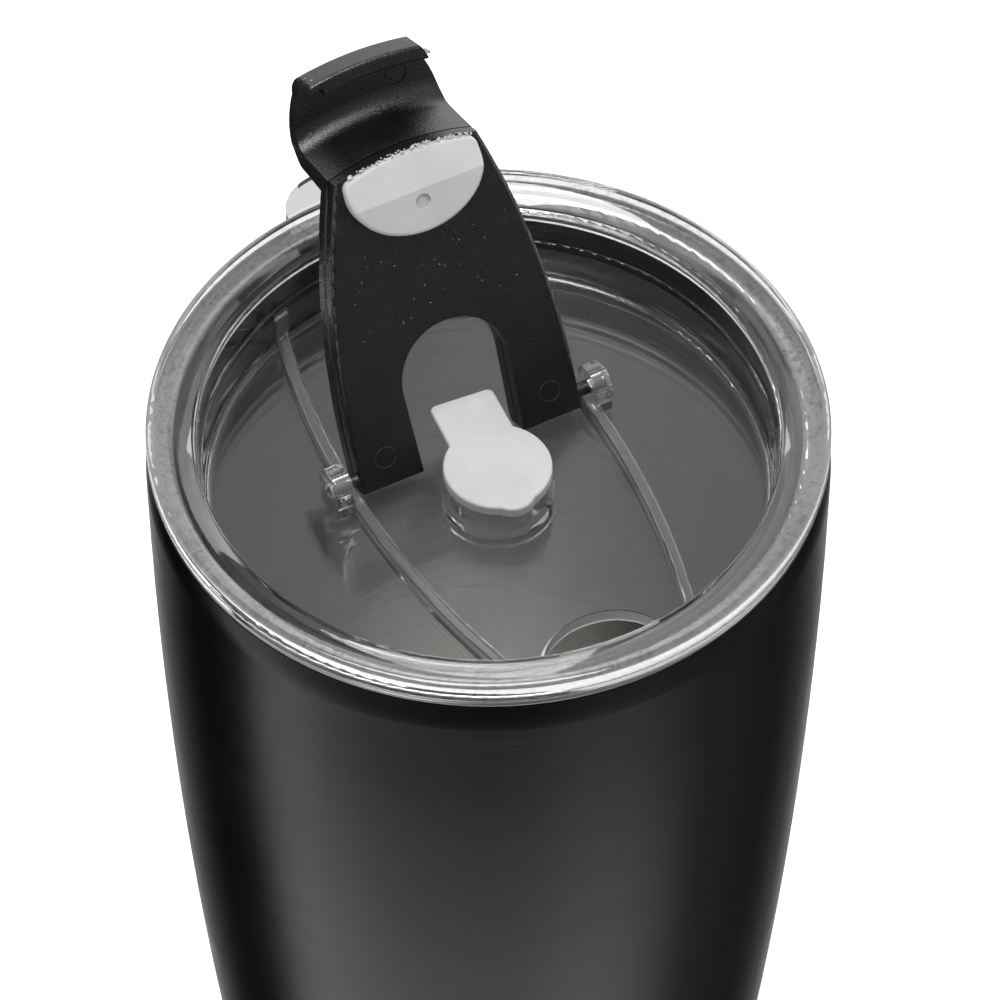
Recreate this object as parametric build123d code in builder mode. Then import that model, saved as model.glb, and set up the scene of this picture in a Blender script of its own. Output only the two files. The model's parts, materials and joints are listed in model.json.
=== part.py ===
from build123d import *

import os
from math import cos, hypot, radians, sin, sqrt

# Insulated travel mug: a double-walled vacuum tumbler with a clear push-in lid.
# The lid carries a flip lever that closes the drink hole and a soft plug that
# closes the straw hole. Millimetres, +Z up, origin at the centre of the base on
# the surface that the mug stands on. The drink hole faces -Y, the lift tab +Y,
# and the lever hinges about a line along X. The lever is modelled open.

# --- Vacuum body -----------------------------------------------------------
LID_TOP = 172.0              # top of the lid flange
BULGE_R = 45.65              # widest radius of the outer wall
BULGE_Z = 160.0              # height of the widest radius
SIDE_ARC_R = 1200.0          # radius of the long curve of the side
SHELL_WALL = 0.6
LINER_WALL = 0.5
WALL_BUILD = 3.4             # outer wall face to inner wall face
LIP_BOTTOM = LID_TOP - 4.2   # where the coated wall ends under the bare lip
LIP_TOP = LID_TOP - 3.05
LIP_R = 45.2
LIP_EDGE = 0.5               # rounding of the bare lip
SHOULDER_Z = LID_TOP - 8.5   # where the wall starts to turn in to the lip
MOUTH_R = 42.25              # inner radius of the mouth
CUP_FLOOR_Z = 9.0            # inside floor of the cup
CUP_CORNER = 11.0            # inside corner radius at the cup's floor
FOOT_CORNER_Z = 4.2          # top of the rounded foot corner
BASE_R = 32.0                # radius of the welded base disc
BASE_EDGE_Z = 0.6            # lowest steel, above the table
PAD_R = 31.0
PAD_T = 1.6
BASE_T = 0.8
PAD_GROOVES = (11.0, 18.0, 25.0)
PAD_GROOVE_W = 1.0
PAD_GROOVE_D = 0.5
SEAL_R = 3.5                 # bead that closes the evacuation hole
BEAD_T = 0.7
SEAL_HOLE_R = 1.5
FOIL_T = 0.1
FOIL_GAP = 0.05
GETTER_R = 4.0
GETTER_T = 1.8
GETTER_X = 12.0

# --- Lid -------------------------------------------------------------------
FLANGE_R = 45.4
FLANGE_T = 3.0
EDGE_ROUND = 1.1             # outer top rounding of the flange
WELL_R = 38.7                # well wall above the ledge
WELL_LOW_R = 38.1            # well wall below the ledge
LEDGE_DEPTH = 7.0            # ledge below the flange top
SKIRT_R = 40.6               # outside of the well wall
SKIRT_DEPTH = 16.2
FLOOR_DEPTH = 13.3           # lid floor below the flange top
FLOOR_T = 2.3
FLOOR_CORNER = 1.2
GROOVE_R = 39.9              # gasket groove
GROOVE_TOP = 4.1
GROOVE_BOTTOM = 9.2
GASKET_R = 42.0              # tips of the gasket's two fins
RAIL_T = 1.7
RAIL_H = 2.6
RAIL_IN = 17.0               # inner face of a rail where the rails are widest
RAIL_ARC_R = 122.0
RAIL_Y = 2.4                 # where the rails are widest
EYE_R = 3.0
EYE_IN = 18.3                # inner end of a hinge eye, inside the rail
EYE_OUT = 20.9               # outer face of a hinge eye
EYE_WEB = 4.6
EYE_ROUND = 0.5
POST_OUT = 1.2               # how far the rail ends stand out of the well wall
POST_GROW = 0.2              # how much wider than its rail a post is, each side
POST_DROP = 0.3              # top of a post below the ledge
TAB_W = 7.2                  # half width of the lift tab
TAB_OUT = 5.0                # how far the lift tab stands out of the flange
TAB_T = 1.6
COLLAR_Y = -2.6              # straw hole
COLLAR_R = 7.7
COLLAR_NECK_R = 7.0
COLLAR_STEP = 1.7
COLLAR_H = 4.7
COLLAR_UNDER = 0.6           # boss under the lid floor
GATE_R = 0.6                 # moulding nub on the collar
GATE_ANGLE = -52.0
STRAW_R = 4.7
DRINK_Y = -33.6              # centre of the half ellipse of the drink hole
DRINK_A = 8.9
DRINK_B = 7.5
DRINK_FLAT_Y = -31.6
DRINK_CORNER = 0.9

# --- Straw plug ------------------------------------------------------------
PLUG_R = 7.3
PLUG_T = 1.5
PLUG_EDGE = 0.5              # rounding of the cap's top edge
PLUG_TAB_W = 4.6             # half width of the pull tab
PLUG_TAB_END = 13.0          # end of the pull tab, from the straw hole's axis
PLUG_TAB_T = 1.1
PLUG_LIP = 8.0               # reach of the small lip opposite the tab
PLUG_LIP_W = 3.6
PLUG_TURN = -5.0             # how the plug happens to be turned in its hole
PLUG_FIT = 0.25              # clearance of the stem in the straw hole
STEM_LENGTH = 7.6
STEM_WALL = 1.3

# --- Lever -----------------------------------------------------------------
# The lever's own frame has its origin on the hinge line, +Y along the lever
# towards the hook and +Z towards the face that is up when the lever is shut.
PIVOT_Y = 6.0
PIVOT_Z = LID_TOP - 9.9
OPEN_LEAN = 65.0             # angle of the open lever above the table
PIN_R = 1.0
PIN_FIT = 0.07               # radial clearance of a pin in its eye
PIN_END = EYE_OUT - 0.4
PIN_ROOT = 16.1              # where a pin starts, inside a leg
LEVER_LOW = -1.2             # underside of the inner plate
PLATE_T = 2.0
GAP_T = 0.3                  # shadow gap between the two mouldings
SHELL_T = 2.1
LEG_END = -1.9
LEG_OUT = 16.6               # half width across the legs
LEG_IN_LOW = 7.6             # half width of the slot at the leg ends
SLOT_R = 7.9
SLOT_Y = 10.1                # centre of the slot's arch
LEVER_ARC_R = 120.0
LEVER_ARC_Y = 4.1            # where the curved taper starts
CREASE_Y = 42.0              # corners where the lever turns up into the neck
HEEL_R = 3.25                # heel of a leg, round the hinge line
AXIS_Y = PIVOT_Y + 0.1       # the lid's axis, seen from the shut lever
HOOK_IN = 45.5               # inner face of the hook's lip, from the lid's axis
HOOK_LIP = 2.1               # thickness of the lip
NECK_T = 2.1                 # thickness of the neck
HOOK_TIP = 6.4               # height of the lip's tip
HOOK_UNDER = 9.9             # underside of the hook
HOOK_TOP = 12.0
NECK_RISE = 1.6              # how far the neck leans out towards the hook
HOOK_BARB = 1.1              # thickness of the barb inside the lip
HOOK_BARB_W = 6.4            # where the barb stops, from the middle
HOOK_MARK = (-5.0, 49.1)     # moulding mark under the hook
LAND_INSET = 0.9
SIDE_ROUND = 0.5             # rounding of the lever's long edges
MARK_R = 1.6                 # round moulding marks on the legs and the hook
LEG_MARK = (12.4, 2.2)
MARK_LINE = 0.25
MARK_DEPTH = 0.12
PAD_A = 9.7                  # half ellipse of the seal pad
PAD_B = 7.6
PAD_Y = 39.8
PAD_RIDGE_Y = 38.4           # where the pad's flat face ends
PAD_END_Y = 43.2             # foot of the bevel at the pad's middle
PAD_ROUND = 0.6              # rounding of the pad's free edges
PAD_END_T = 0.5              # thickness of the pad at its end
PAD_CORNER = 1.3             # rounding of the pad's two end corners
PAD_H = 2.6
STUD_R = 2.4                 # stud that holds the pad in the plate
STUD_Y = 36.6
DIMPLE_R = 1.1               # moulding dimple in the pad's face
DIMPLE_DEPTH = 0.5

SHELL_LOW = LEVER_LOW + PLATE_T + GAP_T
SHELL_HIGH = SHELL_LOW + SHELL_T
FLOOR_Z = LID_TOP - FLOOR_DEPTH

ALONG = (0, cos(radians(OPEN_LEAN)), sin(radians(OPEN_LEAN)))
OUTWARD = (0, sin(radians(OPEN_LEAN)), -cos(radians(OPEN_LEAN)))
LEVER = Plane(origin=(0, PIVOT_Y, PIVOT_Z), x_dir=(-1, 0, 0), z_dir=OUTWARD)
LEVER_SIDE = Plane(origin=(0, PIVOT_Y, PIVOT_Z), x_dir=ALONG, z_dir=(-1, 0, 0))
SHUT_AXIS = Axis(LEVER.from_local_coords((0, AXIS_Y, 0)), OUTWARD)


def side_r(z, inset=0.0):
    """Radius of the long side curve at height z, moved in by inset."""
    centre_r = BULGE_R - SIDE_ARC_R
    return centre_r + sqrt((SIDE_ARC_R - inset) ** 2 - (z - BULGE_Z) ** 2)


def side_arc(low, high, inset=0.0):
    """The long side curve from height low to height high, as one arc."""
    middle = (low + high) / 2
    return ThreePointArc(
        (side_r(low, inset), low),
        (side_r(middle, inset), middle),
        (side_r(high, inset), high),
    )


def finish(piece, name):
    """Label a finished piece and write its STEP file."""
    piece.part.label = name
    export_step(piece.part, f"parts/{name}.step")


def lever_edge(y):
    """Half width of the lever at y in its own frame."""
    return LEG_OUT - (LEVER_ARC_R - sqrt(LEVER_ARC_R**2 - (y - LEVER_ARC_Y) ** 2))


def round_y(x, radius):
    """y in the lever's frame on a circle round the lid's axis."""
    return AXIS_Y + sqrt(radius**2 - x**2)


END_R = hypot(lever_edge(CREASE_Y), CREASE_Y - AXIS_Y)


def lever_outline():
    """Right half of the lever's outline with the straw slot, then its mirror."""
    middle_y = (LEVER_ARC_Y + CREASE_Y) / 2
    slot_side = SLOT_R * cos(radians(45))
    ThreePointArc(
        (0, round_y(0, END_R)),
        (lever_edge(CREASE_Y) / 2, round_y(lever_edge(CREASE_Y) / 2, END_R)),
        (lever_edge(CREASE_Y), CREASE_Y),
    )
    ThreePointArc(
        (lever_edge(CREASE_Y), CREASE_Y),
        (lever_edge(middle_y), middle_y),
        (LEG_OUT, LEVER_ARC_Y),
    )
    Line((LEG_OUT, LEVER_ARC_Y), (LEG_OUT, LEG_END))
    Line((LEG_OUT, LEG_END), (LEG_IN_LOW, LEG_END))
    Line((LEG_IN_LOW, LEG_END), (SLOT_R, SLOT_Y))
    ThreePointArc(
        (SLOT_R, SLOT_Y),
        (slot_side, SLOT_Y + slot_side),
        (0, SLOT_Y + SLOT_R),
    )
    mirror(about=Plane.YZ)


os.makedirs("parts", exist_ok=True)

# --- Outer shell: coated steel wall, turned in at the foot and at the lip ----
with BuildPart() as outer_shell:
    with BuildSketch(Plane.XZ):
        with BuildLine():
            foot_r = side_r(FOOT_CORNER_Z)
            foot_in = side_r(FOOT_CORNER_Z, SHELL_WALL)
            side_arc(FOOT_CORNER_Z, SHOULDER_Z)
            ThreePointArc(
                (side_r(SHOULDER_Z), SHOULDER_Z),
                (side_r(SHOULDER_Z) - 0.12, LIP_BOTTOM - 2.0),
                (LIP_R - 0.1, LIP_BOTTOM),
            )
            Line((LIP_R - 0.1, LIP_BOTTOM), (LIP_R - 0.1 - SHELL_WALL, LIP_BOTTOM))
            Line((LIP_R - 0.1 - SHELL_WALL, LIP_BOTTOM), (side_r(SHOULDER_Z, SHELL_WALL), SHOULDER_Z))
            side_arc(FOOT_CORNER_Z, SHOULDER_Z, SHELL_WALL)
            ThreePointArc(
                (foot_in, FOOT_CORNER_Z),
                (foot_in - 0.75, BASE_EDGE_Z + SHELL_WALL + 0.75),
                (foot_in - 2.2, BASE_EDGE_Z + SHELL_WALL),
            )
            Line((foot_in - 2.2, BASE_EDGE_Z + SHELL_WALL), (BASE_R, BASE_EDGE_Z + SHELL_WALL))
            Line((BASE_R, BASE_EDGE_Z + SHELL_WALL), (BASE_R, BASE_EDGE_Z))
            Line((BASE_R, BASE_EDGE_Z), (foot_r - 2.6, BASE_EDGE_Z))
            ThreePointArc(
                (foot_r - 2.6, BASE_EDGE_Z),
                (foot_r - 0.85, BASE_EDGE_Z + 1.0),
                (foot_r, FOOT_CORNER_Z),
            )
        make_face()
    revolve(axis=Axis.Z)
finish(outer_shell, "outer_shell")

# --- Inner liner: the cup itself, with the rolled lip that carries the lid ---
LINER_IN = WALL_BUILD
LINER_OUT = WALL_BUILD - LINER_WALL
corner_z = CUP_FLOOR_Z + CUP_CORNER
with BuildPart() as inner_liner:
    with BuildSketch(Plane.XZ):
        with BuildLine():
            bend = CUP_CORNER * (1 - cos(radians(45)))
            cup_r = side_r(corner_z, LINER_IN)
            back_r = side_r(corner_z, LINER_OUT)
            Line((0, CUP_FLOOR_Z), (cup_r - CUP_CORNER, CUP_FLOOR_Z))
            ThreePointArc(
                (cup_r - CUP_CORNER, CUP_FLOOR_Z),
                (cup_r - bend, CUP_FLOOR_Z + bend),
                (cup_r, corner_z),
            )
            side_arc(corner_z, SHOULDER_Z, LINER_IN)
            Line((side_r(SHOULDER_Z, LINER_IN), SHOULDER_Z), (MOUTH_R, LIP_TOP - LIP_EDGE))
            ThreePointArc(
                (MOUTH_R, LIP_TOP - LIP_EDGE),
                (MOUTH_R + 0.15, LIP_TOP - 0.15),
                (MOUTH_R + LIP_EDGE, LIP_TOP),
            )
            Line((MOUTH_R + LIP_EDGE, LIP_TOP), (LIP_R - LIP_EDGE, LIP_TOP))
            ThreePointArc(
                (LIP_R - LIP_EDGE, LIP_TOP),
                (LIP_R, (LIP_TOP + LIP_BOTTOM) / 2),
                (LIP_R - LIP_EDGE, LIP_BOTTOM),
            )
            Line((LIP_R - LIP_EDGE, LIP_BOTTOM), (MOUTH_R + LINER_WALL, LIP_BOTTOM))
            Line((MOUTH_R + LINER_WALL, LIP_BOTTOM), (side_r(SHOULDER_Z, LINER_OUT), SHOULDER_Z))
            side_arc(corner_z, SHOULDER_Z, LINER_OUT)
            ThreePointArc(
                (back_r, corner_z),
                (back_r - bend, CUP_FLOOR_Z - LINER_WALL + bend),
                (back_r - CUP_CORNER, CUP_FLOOR_Z - LINER_WALL),
            )
            Line((back_r - CUP_CORNER, CUP_FLOOR_Z - LINER_WALL), (0, CUP_FLOOR_Z - LINER_WALL))
            Line((0, CUP_FLOOR_Z - LINER_WALL), (0, CUP_FLOOR_Z))
        make_face()
    revolve(axis=Axis.Z)
finish(inner_liner, "inner_liner")

# --- Base disc, welded inside the turned-in foot, with the evacuation hole ---
with BuildPart() as outer_base:
    with BuildSketch(Plane.XY.offset(PAD_T)):
        Circle(BASE_R)
    extrude(amount=BASE_T)
    with BuildSketch(Plane.XY.offset(BASE_EDGE_Z)):
        Circle(BASE_R)
        Circle(PAD_R + 0.2, mode=Mode.SUBTRACT)
    extrude(amount=PAD_T - BASE_EDGE_Z)
    with BuildSketch(Plane.XY.offset(PAD_T)):
        Circle(SEAL_HOLE_R)
    extrude(amount=BASE_T, mode=Mode.SUBTRACT)
finish(outer_base, "outer_base")

# --- Bead that seals the evacuation hole -----------------------------------
with BuildPart() as vacuum_seal:
    with BuildSketch(Plane.XY.offset(PAD_T - BEAD_T)):
        Circle(SEAL_R)
    extrude(amount=BEAD_T)
    with BuildSketch(Plane.XY.offset(PAD_T)):
        Circle(SEAL_HOLE_R - 0.05)
    extrude(amount=BASE_T * 0.75)
finish(vacuum_seal, "vacuum_seal")

# --- Rubber foot pad, the face that the mug stands on ------------------------
with BuildPart() as foot_pad:
    with BuildSketch():
        Circle(PAD_R)
    extrude(amount=PAD_T)
    chamfer(foot_pad.faces().sort_by(Axis.Z)[0].edges(), length=0.4)
    with BuildSketch(Plane.XY.offset(PAD_T - BEAD_T)):
        Circle(SEAL_R + 0.2)
    extrude(amount=BEAD_T, mode=Mode.SUBTRACT)
    for groove_r in PAD_GROOVES:
        with BuildSketch():
            Circle(groove_r + PAD_GROOVE_W / 2)
            Circle(groove_r - PAD_GROOVE_W / 2, mode=Mode.SUBTRACT)
        extrude(amount=PAD_GROOVE_D, mode=Mode.SUBTRACT)
finish(foot_pad, "foot_pad")

# --- Reflective foil wrapped round the liner inside the vacuum gap -----------
FOIL_LOW = corner_z + 2.0
FOIL_HIGH = SHOULDER_Z - 4.0
FOIL_IN = LINER_OUT - FOIL_GAP
FOIL_OUT = FOIL_IN - FOIL_T
with BuildPart() as reflective_foil:
    with BuildSketch(Plane.XZ):
        with BuildLine():
            side_arc(FOIL_LOW, FOIL_HIGH, FOIL_IN)
            Line((side_r(FOIL_HIGH, FOIL_IN), FOIL_HIGH), (side_r(FOIL_HIGH, FOIL_OUT), FOIL_HIGH))
            side_arc(FOIL_LOW, FOIL_HIGH, FOIL_OUT)
            Line((side_r(FOIL_LOW, FOIL_OUT), FOIL_LOW), (side_r(FOIL_LOW, FOIL_IN), FOIL_LOW))
        make_face()
    revolve(axis=Axis.Z)
finish(reflective_foil, "reflective_foil")

# --- Getter pellet under the liner's floor -----------------------------------
with BuildPart() as getter:
    with BuildSketch(Plane.XY.offset(CUP_FLOOR_Z - LINER_WALL - GETTER_T)):
        with Locations((GETTER_X, 0)):
            Circle(GETTER_R)
    extrude(amount=GETTER_T)
finish(getter, "getter")


# --- Lid: one clear moulding -------------------------------------------------
def deep(r, depth):
    """A point of the lid's turned profile, depth below the flange top."""
    return (r, LID_TOP - depth)


def rail_x(y, inset=0.0):
    """Distance of a rail's outer face from the middle, moved in by inset."""
    return RAIL_IN + RAIL_T - inset - (RAIL_ARC_R - sqrt(RAIL_ARC_R**2 - (y - RAIL_Y) ** 2))


def rail_outline(grow=0.0):
    """One bowed rail, longer than the floor at both ends, made wider by grow each side."""
    far = WELL_LOW_R + 1
    inset = RAIL_T + grow
    ThreePointArc((rail_x(-far, -grow), -far), (rail_x(RAIL_Y, -grow), RAIL_Y), (rail_x(far, -grow), far))
    Line((rail_x(far, -grow), far), (rail_x(far, inset), far))
    ThreePointArc((rail_x(far, inset), far), (rail_x(RAIL_Y, inset), RAIL_Y), (rail_x(-far, inset), -far))
    Line((rail_x(-far, inset), -far), (rail_x(-far, -grow), -far))


def is_eye_rim(edge):
    """True for the outer end's edge of a hinge eye."""
    return abs(edge.radius - EYE_R) < 0.01 and abs(abs(edge.center().X) - EYE_OUT) < 0.01


MERGE = 0.3                  # how far an added feature is sunk into the lid
RAIL_TOP = FLOOR_Z + RAIL_H
with BuildPart() as lid_body:
    with BuildSketch(Plane.XZ):
        with BuildLine():
            ThreePointArc(
                deep(FLANGE_R - EDGE_ROUND, 0),
                deep(FLANGE_R - EDGE_ROUND * 0.29, EDGE_ROUND * 0.29),
                deep(FLANGE_R, EDGE_ROUND),
            )
            Line(deep(FLANGE_R, EDGE_ROUND), deep(FLANGE_R, 1.35))
            ThreePointArc(deep(FLANGE_R, 1.35), deep(FLANGE_R - 0.25, 1.6), deep(FLANGE_R, 1.85))
            Line(deep(FLANGE_R, 1.85), deep(FLANGE_R, FLANGE_T - 0.5))
            ThreePointArc(
                deep(FLANGE_R, FLANGE_T - 0.5),
                deep(FLANGE_R - 0.15, FLANGE_T - 0.15),
                deep(FLANGE_R - 0.5, FLANGE_T),
            )
            Polyline(
                deep(FLANGE_R - 0.5, FLANGE_T),
                deep(SKIRT_R, FLANGE_T),
                deep(SKIRT_R, GROOVE_TOP),
                deep(GROOVE_R, GROOVE_TOP),
                deep(GROOVE_R, GROOVE_BOTTOM),
                deep(SKIRT_R, GROOVE_BOTTOM),
                deep(SKIRT_R - 0.3, SKIRT_DEPTH - 0.8),
            )
            ThreePointArc(
                deep(SKIRT_R - 0.3, SKIRT_DEPTH - 0.8),
                deep(SKIRT_R - 0.53, SKIRT_DEPTH - 0.23),
                deep(SKIRT_R - 1.1, SKIRT_DEPTH),
            )
            Polyline(
                deep(SKIRT_R - 1.1, SKIRT_DEPTH),
                deep(WELL_R, SKIRT_DEPTH),
                deep(WELL_R - 0.6, FLOOR_DEPTH + FLOOR_T),
                deep(0, FLOOR_DEPTH + FLOOR_T),
                deep(0, FLOOR_DEPTH),
                deep(WELL_LOW_R - FLOOR_CORNER, FLOOR_DEPTH),
            )
            ThreePointArc(
                deep(WELL_LOW_R - FLOOR_CORNER, FLOOR_DEPTH),
                deep(WELL_LOW_R - FLOOR_CORNER * 0.29, FLOOR_DEPTH - FLOOR_CORNER * 0.29),
                deep(WELL_LOW_R, FLOOR_DEPTH - FLOOR_CORNER),
            )
            Line(deep(WELL_LOW_R, FLOOR_DEPTH - FLOOR_CORNER), deep(WELL_LOW_R, LEDGE_DEPTH + 0.2))
            ThreePointArc(
                deep(WELL_LOW_R, LEDGE_DEPTH + 0.2),
                deep(WELL_LOW_R + 0.06, LEDGE_DEPTH + 0.06),
                deep(WELL_LOW_R + 0.2, LEDGE_DEPTH),
            )
            Line(deep(WELL_LOW_R + 0.2, LEDGE_DEPTH), deep(WELL_R - 0.1, LEDGE_DEPTH))
            Line(deep(WELL_R - 0.1, LEDGE_DEPTH), deep(WELL_R, 2.7))
            ThreePointArc(deep(WELL_R, 2.7), deep(WELL_R + 0.2, 2.15), deep(WELL_R + 0.7, 1.85))
            ThreePointArc(
                deep(WELL_R + 0.7, 1.85),
                deep(WELL_R + 2.9, 0.62),
                deep(FLANGE_R - EDGE_ROUND, 0),
            )
        make_face()
    revolve(axis=Axis.Z)
    # two bowed rails on the floor, running into the well wall
    with BuildSketch(Plane.XY.offset(FLOOR_Z - MERGE)):
        with BuildLine():
            rail_outline()
        make_face()
        mirror(about=Plane.YZ)
        Circle(WELL_LOW_R + MERGE, mode=Mode.INTERSECT)
    extrude(amount=RAIL_H + MERGE)
    rail_edges = lid_body.edges().filter_by_position(Axis.Z, RAIL_TOP - 0.01, RAIL_TOP + 0.01)
    fillet(rail_edges.filter_by(GeomType.CIRCLE).filter_by(lambda e: e.radius > WELL_R + 1), radius=0.4)
    # each rail climbs to the ledge where it meets the well wall
    with BuildSketch(Plane.XY.offset(FLOOR_Z - MERGE)):
        with BuildLine():
            rail_outline(POST_GROW)
        make_face()
        mirror(about=Plane.YZ)
        Circle(WELL_LOW_R + MERGE, mode=Mode.INTERSECT)
        Circle(WELL_LOW_R - POST_OUT, mode=Mode.SUBTRACT)
    extrude(amount=LID_TOP - LEDGE_DEPTH - POST_DROP - FLOOR_Z + MERGE)
    # hinge eyes outside the rails, each on a web down to the floor
    for side in (1, -1):
        with BuildSketch(Plane.YZ.offset(side * EYE_IN)):
            with Locations((PIVOT_Y, PIVOT_Z)):
                Circle(EYE_R)
            with Locations((PIVOT_Y, (PIVOT_Z + FLOOR_Z - MERGE) / 2)):
                Rectangle(EYE_WEB, PIVOT_Z - FLOOR_Z + MERGE)
        extrude(amount=side * (EYE_OUT - EYE_IN))
    eye_rims = lid_body.edges().filter_by(GeomType.CIRCLE).filter_by(is_eye_rim)
    fillet(eye_rims, radius=EYE_ROUND)
    with BuildSketch(Plane.YZ.offset(-EYE_OUT - 1)):
        with Locations((PIVOT_Y, PIVOT_Z)):
            Circle(PIN_R + PIN_FIT)
    extrude(amount=2 * EYE_OUT + 2, mode=Mode.SUBTRACT)
    # stepped collar of the straw hole
    with BuildSketch(Plane.XY.offset(FLOOR_Z - MERGE)):
        with Locations((0, COLLAR_Y)):
            Circle(COLLAR_R)
    extrude(amount=COLLAR_STEP + MERGE)
    with BuildSketch(Plane.XY.offset(FLOOR_Z)):
        with Locations((0, COLLAR_Y)):
            Circle(COLLAR_NECK_R)
    extrude(amount=COLLAR_H)
    with BuildSketch(Plane.XY.offset(FLOOR_Z - FLOOR_T - COLLAR_UNDER)):
        with Locations((0, COLLAR_Y)):
            Circle(COLLAR_R)
    extrude(amount=COLLAR_UNDER + MERGE)
    with BuildSketch(Plane.XY.offset(FLOOR_Z)):
        with Locations((0, COLLAR_Y)):
            with PolarLocations(COLLAR_R - GATE_R / 2, 1, start_angle=GATE_ANGLE):
                Circle(GATE_R)
    extrude(amount=COLLAR_STEP + GATE_R)
    with BuildSketch(Plane.XY.offset(FLOOR_Z - FLOOR_T - 1)):
        with Locations((0, COLLAR_Y)):
            Circle(STRAW_R)
    extrude(amount=FLOOR_T + COLLAR_H + 2, mode=Mode.SUBTRACT)
    # D-shaped drink hole, its flat side towards the rim
    with BuildSketch(Plane.XY.offset(FLOOR_Z - FLOOR_T - 1)) as drink_hole:
        with Locations((0, DRINK_Y)):
            Ellipse(DRINK_A, DRINK_B)
        with Locations((0, DRINK_FLAT_Y)):
            Rectangle(2 * DRINK_A, DRINK_B, align=(Align.CENTER, Align.MIN), mode=Mode.INTERSECT)
        fillet(drink_hole.vertices().sort_by(Axis.Y)[:2], radius=DRINK_CORNER)
    extrude(amount=FLOOR_T + 2, mode=Mode.SUBTRACT)
    # lift tab behind the flange
    with BuildSketch(Plane.XY.offset(LID_TOP - 0.6 - TAB_T)):
        with Locations((0, FLANGE_R - 1.0)):
            Ellipse(TAB_W, TAB_OUT + 1.0)
        Circle(FLANGE_R - 1.5, mode=Mode.SUBTRACT)
    extrude(amount=TAB_T)
finish(lid_body, "lid_body")

# --- Gasket with two fins in the groove round the well wall ------------------
FIN_ROOT_R = SKIRT_R + 0.4
GASKET_IN = GROOVE_R + 0.03
with BuildPart() as lid_gasket:
    with BuildSketch(Plane.XZ):
        with BuildLine():
            Polyline(
                deep(GASKET_IN, GROOVE_TOP + 0.05),
                deep(FIN_ROOT_R, GROOVE_TOP + 0.05),
                deep(FIN_ROOT_R, GROOVE_TOP + 0.5),
                deep(GASKET_R, GROOVE_TOP + 0.8),
                deep(GASKET_R, GROOVE_TOP + 1.1),
                deep(FIN_ROOT_R, GROOVE_TOP + 1.6),
                deep(FIN_ROOT_R, GROOVE_TOP + 3.0),
                deep(GASKET_R, GROOVE_TOP + 3.3),
                deep(GASKET_R, GROOVE_TOP + 3.6),
                deep(FIN_ROOT_R, GROOVE_TOP + 4.1),
                deep(FIN_ROOT_R, GROOVE_BOTTOM - 0.05),
                deep(GASKET_IN, GROOVE_BOTTOM - 0.05),
                close=True,
            )
        make_face()
    revolve(axis=Axis.Z)
finish(lid_gasket, "lid_gasket")

# --- Straw plug: domed cap with a pull tab and a hollow stem -----------------
CAP_Z = FLOOR_Z + COLLAR_H
PLUG = Plane(origin=(0, COLLAR_Y, CAP_Z)).rotated((0, 0, PLUG_TURN))


def is_tab_join(edge):
    """True for the upright edges where the pull tab leaves the round cap."""
    place = PLUG.to_local_coords(edge.center())
    return place.Y > 0 and abs(hypot(place.X, place.Y) - PLUG_R) < 0.01


with BuildPart() as straw_plug:
    with BuildSketch(PLUG):
        Circle(PLUG_R)
        with Locations((0, -PLUG_R / 2)):
            Ellipse(PLUG_LIP_W, PLUG_LIP - PLUG_R / 2)
    extrude(amount=PLUG_T)
    with BuildSketch(PLUG.offset(PLUG_T - PLUG_TAB_T)) as tab:
        Rectangle(2 * PLUG_TAB_W, PLUG_TAB_END, align=(Align.CENTER, Align.MIN))
        fillet(tab.vertices().sort_by(Axis.Y)[-2:], radius=PLUG_EDGE * 2)
    extrude(amount=PLUG_TAB_T)
    fillet(straw_plug.edges().filter_by(Axis.Z).filter_by(is_tab_join), radius=PLUG_EDGE)
    fillet(straw_plug.faces().sort_by(Axis.Z)[-1].edges(), radius=PLUG_EDGE * 0.7)
    with BuildSketch(PLUG):
        Circle(STRAW_R - PLUG_FIT)
    extrude(amount=-STEM_LENGTH)
    chamfer(straw_plug.faces().sort_by(Axis.Z)[0].edges(), length=0.4)
    with BuildSketch(PLUG.offset(-STEM_LENGTH)):
        Circle(STRAW_R - PLUG_FIT - STEM_WALL)
    extrude(amount=STEM_LENGTH - 0.6, mode=Mode.SUBTRACT)
finish(straw_plug, "straw_plug")

# --- Lever plate: inner moulding with the hinge pins and the slot ------------
def long_edges(piece, height):
    """The lever's long outer edges at a height in its own frame."""
    return piece.edges().filter_by(
        lambda e: abs(LEVER.to_local_coords(e.center()).Z - height) < 0.01
        and abs(LEVER.to_local_coords(e.center()).X) > LEG_OUT - 3
        and e.length > LEVER_ARC_Y
    )


with BuildPart() as lever_plate:
    with BuildSketch(LEVER.offset(LEVER_LOW)):
        with BuildLine():
            lever_outline()
        make_face()
    extrude(amount=PLATE_T)
    fillet(long_edges(lever_plate, LEVER_LOW), radius=SIDE_ROUND)
    with BuildSketch(LEVER.offset(LEVER_LOW)):
        with Locations((0, STUD_Y)):
            Circle(STUD_R)
    extrude(amount=PLATE_T, mode=Mode.SUBTRACT)
    with BuildSketch(LEVER.offset(LEVER_LOW)):
        with Locations(LEG_MARK, (-LEG_MARK[0], LEG_MARK[1])):
            Circle(MARK_R)
            Circle(MARK_R - MARK_LINE, mode=Mode.SUBTRACT)
    extrude(amount=MARK_DEPTH, mode=Mode.SUBTRACT)
    for side in (1, -1):
        with BuildSketch(Plane.YZ.offset(side * PIN_ROOT)):
            with Locations((PIVOT_Y, PIVOT_Z)):
                Circle(PIN_R)
        extrude(amount=side * (PIN_END - PIN_ROOT))
finish(lever_plate, "lever_plate")

# --- Lever shell: outer moulding with the neck and the hook ------------------
NECK_LOW = AXIS_Y + END_R                # front of the neck at its foot
NECK_HIGH = NECK_LOW + NECK_RISE
LIP_IN = AXIS_Y + HOOK_IN
LIP_OUT = LIP_IN + HOOK_LIP


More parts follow.
